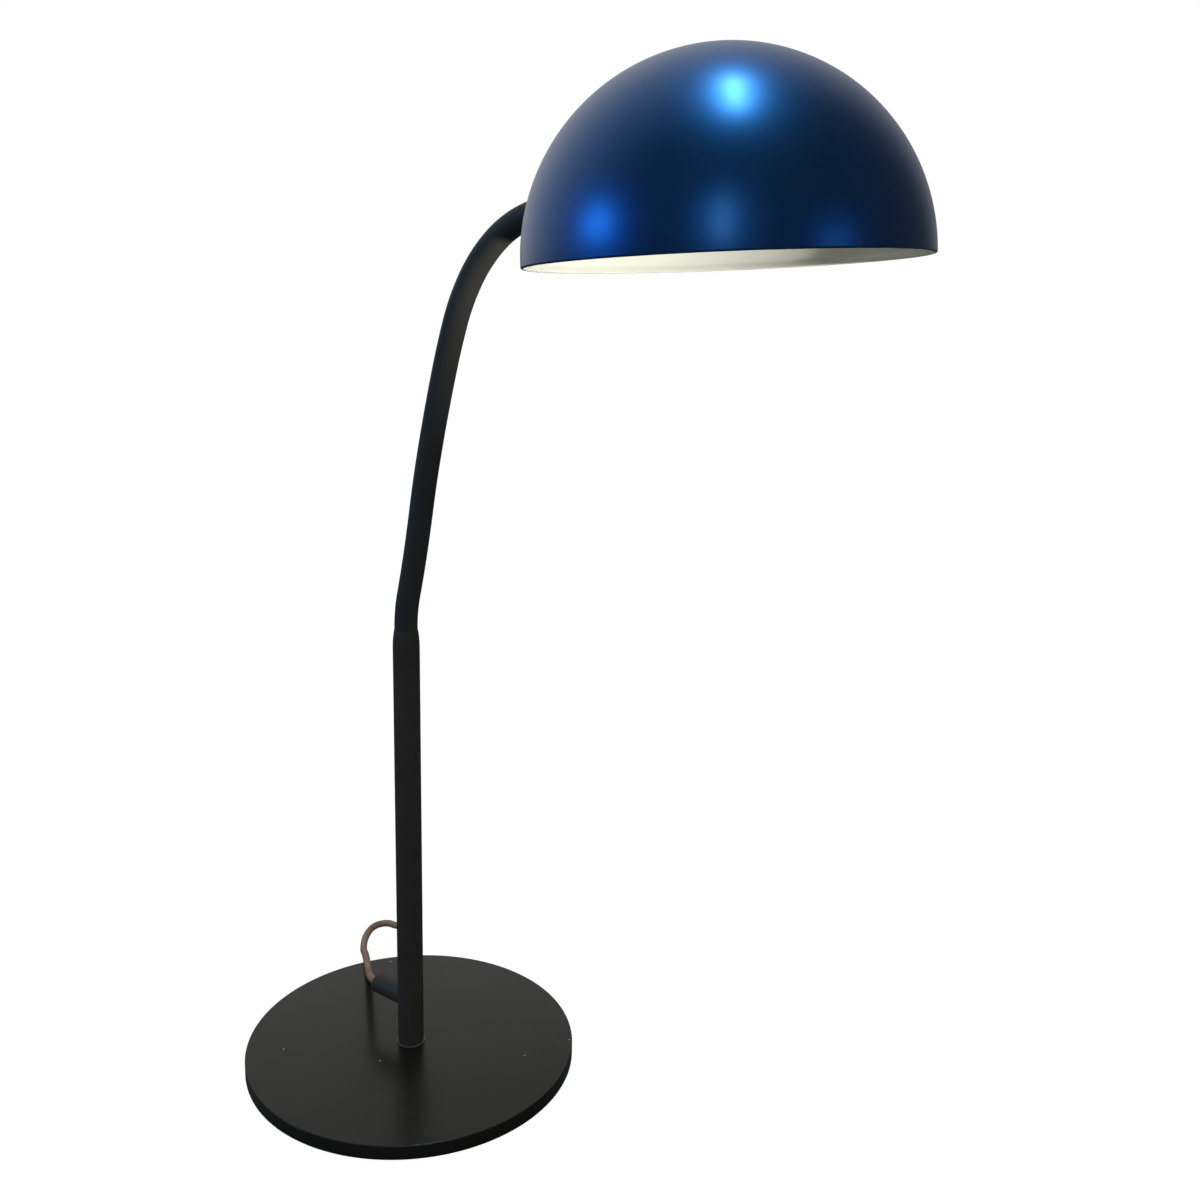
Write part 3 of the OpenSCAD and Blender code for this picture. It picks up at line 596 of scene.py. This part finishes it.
def aim(light, target):
    light.rotation_euler = (light.location - Vector(target)).to_track_quat("Z", "Y").to_euler()


def area_light(name, place, power, tint, width, height):
    """A rectangular lamp that faces the middle of the desk lamp."""
    deselect_all()
    bpy.ops.object.light_add(type="AREA", location=place)
    light = bpy.context.object
    light.name = name
    light.data.shape = "RECTANGLE"
    light.data.size = width
    light.data.size_y = height
    light.data.energy = power
    light.data.color = tint
    aim(light, LAMP_TARGET)
    return light


def seen_rays(tree, *kinds):
    """1 for the named kinds of rays, else 0."""
    path = add_node(tree, "ShaderNodeLightPath")
    total = path.outputs[kinds[0]]
    for kind in kinds[1:]:
        either = add_node(tree, "ShaderNodeMath", "MAXIMUM", i0=total, i1=path.outputs[kind])
        total = either.outputs[0]
    return total


class BuildStage(bpy.types.Operator):
    """Makes the floor, the light and the camera"""

    bl_idname = "desk_lamp.build_stage"
    bl_label = "Stage"

    def execute(self, context):
        stage = context.scene.desk_lamp_stage
        context.scene.view_settings.view_transform = "Standard"
        self.make_floor(stage)
        self.make_room(context.scene, stage)
        self.make_lamps()
        self.make_camera(context.scene, stage)
        return {"FINISHED"}

    def make_floor(self, stage):
        """A floor that the camera sees as white, while other rays meet it as matt and dark."""
        deselect_all()
        bpy.ops.mesh.primitive_plane_add(size=stage.floor_size, location=(0, 0, 0))
        floor = bpy.context.object
        floor.name = floor.data.name = "floor"
        material = bpy.data.materials.new("White floor")
        material.use_nodes = True
        tree = material.node_tree
        shader = tree.nodes["Principled BSDF"]
        shader.inputs["Base Color"].default_value = colour(0.1, 0.1, 0.1)
        shader.inputs["Roughness"].default_value = 0.9
        shader.inputs["Specular IOR Level"].default_value = 0.1
        glow = add_node(
            tree, "ShaderNodeEmission", Color=colour(*stage.backdrop), Strength=0.97)
        both = tree.nodes.new("ShaderNodeAddShader")
        choose = tree.nodes.new("ShaderNodeMixShader")
        white = seen_rays(tree, "Is Camera Ray", "Is Transmission Ray")
        tree.links.new(glow.outputs[0], both.inputs[0])
        tree.links.new(shader.outputs[0], both.inputs[1])
        tree.links.new(white, choose.inputs[0])
        tree.links.new(shader.outputs[0], choose.inputs[1])
        tree.links.new(both.outputs[0], choose.inputs[2])
        tree.links.new(choose.outputs[0], tree.nodes["Material Output"].inputs["Surface"])
        floor.data.materials.append(material)

    def make_room(self, scene, stage):
        """White for the camera, one bright wall for the gloss, and even light for the rest."""
        world = scene.world or bpy.data.worlds.new("World")
        scene.world = world
        world.use_nodes = True
        tree = world.node_tree
        back = tree.nodes["Background"]
        back.inputs["Color"].default_value = colour(*stage.backdrop)
        ray = add_node(tree, "ShaderNodeNewGeometry")
        heading = turn(stage.wall_direction, "Z") @ Vector(WALL_WAY)
        wall = add_node(
            tree, "ShaderNodeVectorMath", "DOT_PRODUCT", i0=ray.outputs["Incoming"],
            i1=tuple(heading))
        room = spread(tree, wall.outputs["Value"], 0.3, 0.95, stage.room_light, stage.wall_light)
        glossy = seen_rays(tree, "Is Glossy Ray")
        shown = seen_rays(tree, "Is Camera Ray", "Is Transmission Ray")
        soft = add_node(tree, "ShaderNodeMix", Factor=glossy, i2=SOFT_LIGHT, i3=room)
        strength = add_node(tree, "ShaderNodeMix", Factor=shown, i2=soft.outputs[0], i3=1.0)
        tree.links.new(strength.outputs[0], back.inputs["Strength"])

    def make_lamps(self):
        """The lamps and windows that the gloss shows, and a spot that lights the shade's inside."""
        ceiling = [area_light(*lamp) for lamp in AREA_LAMPS][0]
        ceiling.rotation_euler = (0, 0, math.radians(CEILING_HEADING))
        deselect_all()
        bpy.ops.object.light_add(type="SPOT", location=LOW_SPOT_PLACE)
        low = bpy.context.object
        low.name = "low spot"
        low.data.energy = 96
        low.visible_glossy = False
        low.data.color = (1.0, 0.98, 0.9)
        low.data.spot_size = math.radians(18)
        low.data.spot_blend = 0.4
        low.data.shadow_soft_size = 0.08
        aim(low, LOW_SPOT_TARGET)

    def make_camera(self, scene, stage):
        """The photograph's own view."""
        deselect_all()
        bpy.ops.object.camera_add()
        camera = bpy.context.object
        camera.name = "camera"
        axes = Matrix((Vector(CAMERA_RIGHT), Vector(CAMERA_UP), -Vector(CAMERA_AHEAD)))
        camera.matrix_world = Matrix.Translation(CAMERA_PLACE) @ axes.transposed().to_4x4()
        camera.data.sensor_width = 36
        camera.data.lens = stage.lens
        camera.data.shift_y = CAMERA_SHIFT
        camera.data.clip_end = 50
        scene.camera = camera


class BuildBase(bpy.types.Operator):
    """Makes the round base plate and the ring at the pole's foot"""

    bl_idname = "desk_lamp.build_base"
    bl_label = "Base"

    def execute(self, context):
        lamp = context.scene.desk_lamp
        radius = lamp.base_radius / MM
        edge, recess, depth, hole = 0.8, 11.5, 5.5, 4.1
        bottom, top = (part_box("base_plate")[i][2] / MM for i in (0, 1))
        profile = [(recess, bottom)]
        profile += arc(radius - edge, bottom + edge, edge, -90, 0, 6)
        profile += arc(radius - edge, top - edge, edge, 0, 90, 6)
        profile += [(hole, top), (hole, bottom + depth), (recess, bottom + depth)]
        plate = turned("base_plate_enamelled", profile, sides=256)
        dress(plate, "enamel", "base", "painted_steel_black", "base_plate")

        ring_edge = 0.3
        low, high = (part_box("foot_ring")[i] / MM for i in (0, 1))
        outer, foot, crown = high[0], low[2], high[2]
        profile = [(hole, foot), (outer, foot), (outer, crown - ring_edge)]
        profile += arc(outer - ring_edge, crown - ring_edge, ring_edge, 0, 90, 3)
        profile += [(hole, crown)]
        ring = turned("foot_ring_bright", profile, sides=96)
        dress(ring, "worn", "base", "steel", "foot_ring")
        return {"FINISHED"}


class BuildPole(bpy.types.Operator):
    """Makes the pole with its drawn-in mouth, and the cord outlet with its rubber bush"""

    bl_idname = "desk_lamp.build_pole"
    bl_label = "Pole"

    def execute(self, context):
        wall = 1.5
        self.pole(context.scene.desk_lamp.pole_radius / MM, wall)
        self.outlet(wall)
        return {"FINISHED"}

    def pole(self, radius, wall):
        """The tube, drawn in over the length of its mouth."""
        bottom, top = (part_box("pole")[i][2] / MM for i in (0, 1))
        mouth, mouth_radius, mouth_bore, lip, chamfer = 12, 7.45, 6.2, 0.25, 0.2
        steps = 12
        profile = [(radius - wall, bottom), (radius - chamfer, bottom), (radius, bottom + chamfer)]
        profile += [
            (radius - (radius - mouth_radius) * (i / steps) ** 2, top - mouth + (mouth - lip) * i / steps)
            for i in range(steps + 1)
        ]
        profile += [(mouth_radius - lip, top), (mouth_bore, top), (radius - wall, top - mouth)]
        pole = turned("pole_painted", profile, sides=96)
        dress(pole, "pole", "base", "painted_steel_black", "pole")

    def outlet(self, wall):
        """The outlet tube, which ends inside the pole, with a worn rim and its bush."""
        low, high = (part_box("cord_outlet")[i] / MM for i in (0, 1))
        radius = (high[2] - low[2]) / 2
        axis = Vector((low[0], 0, (low[2] + high[2]) / 2)) * MM
        outward = Matrix.Translation(axis) @ turn(90, "Y")
        root, outer_edge, inner_edge, worn = 5, 0.5, 0.4, 0.6
        length = -low[0] - root
        bore = radius - wall
        profile = [(bore, length), (radius, length)]
        profile += arc(radius - outer_edge, outer_edge, outer_edge, 0, -90, 4)
        profile += arc(bore + inner_edge, inner_edge, inner_edge, -90, -180, 3)
        outlet = turned("cord_outlet_painted", profile, outward, sides=72)
        outlet.data.materials.append(FINISH["pole"])
        outlet.data.materials.append(FINISH["worn"])
        for face in outlet.data.polygons:
            face.material_index = 1 if face.center.x < (low[0] + worn) * MM else 0
        dress(outlet, None, "base", "painted_steel_black", "cord_outlet")

        bush_bore, bush_length, gap, inset, edge = 2.7, 8, 0.05, 0.1, 0.8
        outer = bore - gap
        profile = [(bush_bore, bush_length), (outer, bush_length), (outer, inset + edge)]
        profile += arc(outer - edge, inset + edge, edge, 0, -90, 3)
        profile += arc(bush_bore + edge, inset + edge, edge, -90, -180, 3)
        bush = turned("outlet_bush_rubber", profile, outward, sides=48)
        dress(bush, "rubber", "base", "rubber", "outlet_bush")


class BuildNeck(bpy.types.Operator):
    """Makes the neck's sleeve, one length for each bending point"""

    bl_idname = "desk_lamp.build_neck"
    bl_label = "Neck"

    def execute(self, context):
        lamp = context.scene.desk_lamp
        radius, wall = lamp.sleeve_radius / MM, lamp.sleeve_wall / MM
        last = len(SECTION_LENGTHS) - 1
        for k in range(1, last + 1):
            joint = section_start(k)
            start = SLEEVE_GAP if k == 1 else section_start(k - 1) + SECTION_LENGTHS[k - 1] / 2
            end = NECK_LENGTH if k == last else joint + SECTION_LENGTHS[k] / 2
            sleeve = bent_tube(f"neck_sleeve_length_{k:02d}", start, end, radius, wall)
            nodes = [f"neck_sleeve_{k:02d}"] + (["neck_sleeve_00"] if k == 1 else [])
            sleeve.data.materials.append(FINISH["sleeve"])
            tuple(neck_place(joint - BEND_REACH)[0] * MM)
            tuple(neck_place(joint + BEND_REACH)[0] * MM)
            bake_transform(sleeve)
            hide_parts(*nodes)
        return {"FINISHED"}


class BuildShade(bpy.types.Operator):
    """Makes the half-ball shade with its rolled rim"""

    bl_idname = "desk_lamp.build_shade"
    bl_label = "Shade"

    def execute(self, context):
        lamp = context.scene.desk_lamp
        radius = lamp.shade_radius / MM
        wall = lamp.shade_wall / MM
        bead, drop, margin, steps = 0.9, 1.2, 0.3, 72
        rim = math.degrees(math.asin(-drop / radius)) + 1.0
        bead_centre = radius - bead
        profile = arc(0, 0, radius, 90, rim, steps)
        profile += arc(bead_centre, -drop, bead, 10, -170, 10)
        profile += arc(0, 0, radius - wall, rim, 90, steps)
        profile[0] = (0, radius)
        profile[-1] = (0, radius - wall)
        shade = turned("shade_spun", profile, shade_place(), sides=256, closed=False, angle=60)
        shade.data.materials.append(FINISH["blue"])
        shade.data.materials.append(FINISH["cream"])

        middle = (radius - wall / 2) * MM
        bead_inside = (bead_centre - margin) * MM
        bead_top = (margin - drop) * MM
        inwards = shade_place().inverted()
        for face in shade.data.polygons:
            spot = inwards @ face.center
            if spot.z > bead_top:
                cream = spot.length < middle
            else:
                cream = spot.xy.length < bead_inside
            face.material_index = 1 if cream else 0
        dress(shade, None, "shade", "painted_steel_blue", "shade")
        return {"FINISHED"}


class BuildHolder(bpy.types.Operator):
    """Makes the lampholder's front half and the bulb's glass"""

    bl_idname = "desk_lamp.build_holder"
    bl_label = "Lampholder and bulb"

    def execute(self, context):
        self.bulb_glass()
        self.holder_body()
        return {"FINISHED"}

    def bulb_glass(self):
        """A ball that runs down in a curve from its waist, in degrees from the top, to the neck."""
        start, length, ball, neck, waist, wall = -19.45, 80, 30, 12.7, 120, 0.8
        steps, curve = 12, 1.6
        widest = length - ball
        low = widest + ball * math.cos(math.radians(waist))
        wide = ball * math.sin(math.radians(waist))
        glass = [(0, length)]
        glass += [
            (ball * math.sin(math.radians(a)), widest + ball * math.cos(math.radians(a)))
            for a in range(5, waist + 1, 5)
        ]
        glass += [
            (neck + (wide - neck) * (1 - s / steps) ** curve, low * (1 - s / steps))
            for s in range(1, steps + 1)
        ]
        inner = [(max(r - wall, 0), z - (wall if z > widest else 0)) for r, z in reversed(glass)]
        bulb = turned(
            "bulb_glass_frosted", glass + inner, on_holder(start), sides=96, closed=False, angle=60)
        dress(bulb, "glass", "shade", "glass", "bulb_glass")

    def holder_body(self):
        """The lampholder's front half, with a ribbed grip and rounded edges."""
        start, length, outer, bore, spigot_radius, spigot = -46.45, 28, 19, 15, 16.45, 6
        rib, groove, first_rib, ribs, edge = 3, 0.6, 6.5, 5, 0.8
        profile = [
            (bore, -spigot), (spigot_radius, -spigot), (spigot_radius, 0), (outer - edge, 0),
            (outer, edge)]
        for i in range(ribs):
            z = first_rib + rib * i
            profile += [
                (outer, z), (outer - groove, z + groove / 2),
                (outer - groove, z + rib / 2 - groove / 2), (outer, z + rib / 2)]
        profile += arc(outer - 2 * edge, length - 2 * edge, 2 * edge, 0, 90, 6)
        profile += [(bore + edge, length), (bore, length - edge)]
        body = turned("holder_body_ribbed", profile, on_holder(start), sides=96, angle=35)
        dress(body, "holder", "shade", "holder", "holder_body")


def smoothed(points, per_span):
    """A smooth line through the points, with the same number of steps in each span."""
    line = []
    last = len(points) - 1
    for i in range(last):
        before, a, b, after = (points[min(max(j, 0), last)] for j in (i - 1, i, i + 1, i + 2))
        for step in range(per_span):
            t = step / per_span
            line.append(
                0.5 * (2 * a + (b - before) * t + (2 * before - 5 * a + 4 * b - after) * t ** 2
                       + (3 * a - before - 3 * b + after) * t ** 3))
    return line + [points[last]]


def hank_point(i):
    """Point of the hank at step i: a run, a fold, a run back and a fold back make one turn."""
    whole, step = divmod(i, 4 * HANK_STEPS)
    # a step at a corner still counts as the end of the leg before it
    leg = max(step - 1, 0) // HANK_STEPS
    part = (step - leg * HANK_STEPS) / HANK_STEPS
    leg_start = (0, RUN_SHARE, 0.5, 0.5 + RUN_SHARE)[leg]
    turns = whole + leg_start + part * (FOLD_SHARE if leg % 2 else RUN_SHARE)
    # two turns wind inwards, the next run crosses to the other layer, and two turns wind outwards
    if turns <= 2:
        r = HANK_RADIUS + HANK_STEP * (2 - turns)
    else:
        r = HANK_RADIUS + HANK_STEP * max(turns - 2 - RUN_SHARE, 0)
    y = LAYER_STEP * (min(max((turns - 2) / RUN_SHARE, 0), 1) - 0.5)
    waist = HANK_WAIST * math.sin(math.pi * part) ** 2
    if leg == 0:
        return Vector((HANK_RUN * part, y, waist - r))
    if leg == 2:
        return Vector((HANK_RUN * (1 - part), y, r - waist))
    if leg == 1:
        a = math.pi * (part - 0.5)
        return Vector((HANK_RUN + r * math.cos(a), y, r * math.sin(a)))
    a = math.pi * (part + 0.5)
    return Vector((r * math.cos(a), y, r * math.sin(a)))


def hank_line():
    """The hank's whole line, in mm, with a straight lead at each end."""
    outer = HANK_RADIUS + 2 * HANK_STEP
    side = LAYER_STEP / 2
    steps = (4 * HANK_TURNS + 1) * HANK_STEPS
    points = [Vector((-LEAD_IN, -side, -outer))]
    points += [hank_point(i) for i in range(steps + 1)]
    points += [Vector((HANK_RUN + LEAD_IN, side, -outer))]
    return [behind_pole(p.x, p.y, p.z + CORD_REST + outer) for p in points]


class BuildCord(bpy.types.Operator):
    """Makes the mains cord with its hank, and the plug"""

    bl_idname = "desk_lamp.build_cord"
    bl_label = "Cord and plug"

    def execute(self, context):
        lamp = context.scene.desk_lamp
        side = LAYER_STEP / 2
        front = [Vector(p) for p in CORD_ROUTE]
        front += [
            behind_pole(-LEAD_IN - STRAIGHT_END, -side, CORD_REST),
            behind_pole(-LEAD_IN, -side, CORD_REST)]
        tail_foot = Vector((HANK_RUN + LEAD_IN, side, CORD_REST))
        tail = [behind_pole(*(Vector(p) + tail_foot)) for p in TAIL_ROUTE]
        line = smoothed(front, CORD_STEPS)[:-1] + hank_line() + smoothed(tail, CORD_STEPS)[1:]
        line = [p * MM for p in line]
        data = bpy.data.curves.new("mains_cord_sheath", "CURVE")
        data.dimensions = "3D"
        data.bevel_depth = lamp.cord_diameter / 2
        data.bevel_resolution = 4
        data.use_fill_caps = True
        spline = data.splines.new("POLY")
        spline.points.add(len(line) - 1)
        for point, place in zip(spline.points, line):
            point.co = (*place, 1)
        cord = bpy.data.objects.new("mains_cord_sheath", data)
        context.collection.objects.link(cord)
        cord.data.materials.append(FINISH["cord"])
        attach(cord, "base")
        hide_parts("mains_cord", "cord_hank")

        plug = self.plug_body(tail[-1])
        return {"FINISHED"}

    def plug_body(self, start):
        """A flat two-pin plug with rounded shoulders and a ribbed, tapered strain relief."""
        place = Matrix.Translation(start * MM) @ turn(REAR_ANGLE, "Z") @ turn(90, "Y")
        relief, tip_radius, first_radius, taper = 21, 3.3, 3.4, 1.5
        root_radius, end_radius, overlap = 5, 5.2, 4
        ribs, first_rib, pitch = 5, 2, 3.4
        # one rib: how far each of its points is out from the taper, and up from its foot
        rib = ((0, 0), (0.15, 0.3), (0.15, 1.6), (-0.25, 1.9), (-0.25, 2.9))
        profile = [(0, 0), (tip_radius, 0)]
        for i in range(ribs):
            z = first_rib + pitch * i
            r = first_radius + taper * (z / relief)
            profile += [(r + out, z + up) for out, up in rib]
        profile += [(root_radius, relief), (end_radius, relief + overlap), (0, relief + overlap)]
        neck = turned("plug_relief", profile, place, sides=40, closed=False)

        shoulder, length, half, thick, back, rounding = 15.3, 34, 17.5, 13.7, 7, 2.2
        outline = [
            (-back, 0), (back, 0), (half - 1, shoulder - 1), (half, shoulder + 1), (half, length),
            (-half, length), (-half, shoulder + 1), (-half + 1, shoulder - 1)]
        points = [(x * MM, -thick / 2 * MM, (z + relief) * MM) for x, z in outline]
        shell = from_points("plug_shell", points, [], [list(range(len(points)))])
        pick(shell)
        bpy.ops.object.mode_set(mode="EDIT")
        bpy.ops.mesh.select_all(action="SELECT")
        bpy.ops.mesh.extrude_region_move(TRANSFORM_OT_translate={"value": (0, thick * MM, 0)})
        bpy.ops.mesh.select_all(action="SELECT")
        bpy.ops.mesh.normals_make_consistent(inside=False)
        bpy.ops.mesh.bevel(offset=rounding * MM, segments=5, affect="EDGES", clamp_overlap=True)
        bpy.ops.object.mode_set(mode="OBJECT")
        settle(shell, place)
        smooth(shell, 40)
        plug = joined("plug_moulded", [shell, neck])
        return dress(plug, "rubber", "base", "rubber", "plug_body")


class DressModel(bpy.types.Operator):
    """Gives the pieces that stay as the model has them their finishes"""

    bl_idname = "desk_lamp.dress_model"
    bl_label = "Fittings"

    def execute(self, context):
        slots = {part["node"]: part["material_slot"] for part in frame["record"]["subparts"]}
        for name, node in frame["nodes"].items():
            finish = FINISH[SLOT_FINISH[slots[name]]]
            if not node.material_slots:
                node.data.materials.append(finish)
            for slot in node.material_slots:
                slot.material = finish
        return {"FINISHED"}


class LampPanel(bpy.types.Panel):
    """Lists the lamp's pieces in the sidebar"""

    bl_idname = "VIEW3D_PT_desk_lamp"
    bl_label = "Desk lamp"
    bl_space_type = "VIEW_3D"
    bl_region_type = "UI"
    bl_category = "Desk Lamp"

    def draw(self, context):
        layout = self.layout
        for group in (context.scene.desk_lamp, context.scene.desk_lamp_stage):
            for name in group.bl_rna.properties.keys():
                if name not in ("rna_type", "name"):
                    layout.prop(group, name)
        for operator in OPERATORS:
            layout.operator(operator.bl_idname)


OPERATORS = (
    BuildStage, DressModel, BuildBase, BuildPole, BuildNeck, BuildShade, BuildHolder, BuildCord)
CLASSES = (LampSettings, StageSettings, *OPERATORS, LampPanel)


def register():
    for item in CLASSES:
        bpy.utils.register_class(item)
    bpy.types.Scene.desk_lamp = bpy.props.PointerProperty(type=LampSettings)
    bpy.types.Scene.desk_lamp_stage = bpy.props.PointerProperty(type=StageSettings)


def unregister():
    del bpy.types.Scene.desk_lamp_stage
    del bpy.types.Scene.desk_lamp
    for item in reversed(CLASSES):
        bpy.utils.unregister_class(item)


def main():
    register()
    make_finishes(bpy.context.scene.desk_lamp)
    for operator in OPERATORS:
        group, name = operator.bl_idname.split(".")
        getattr(getattr(bpy.ops, group), name)()


if __name__ == "__main__":
    main()
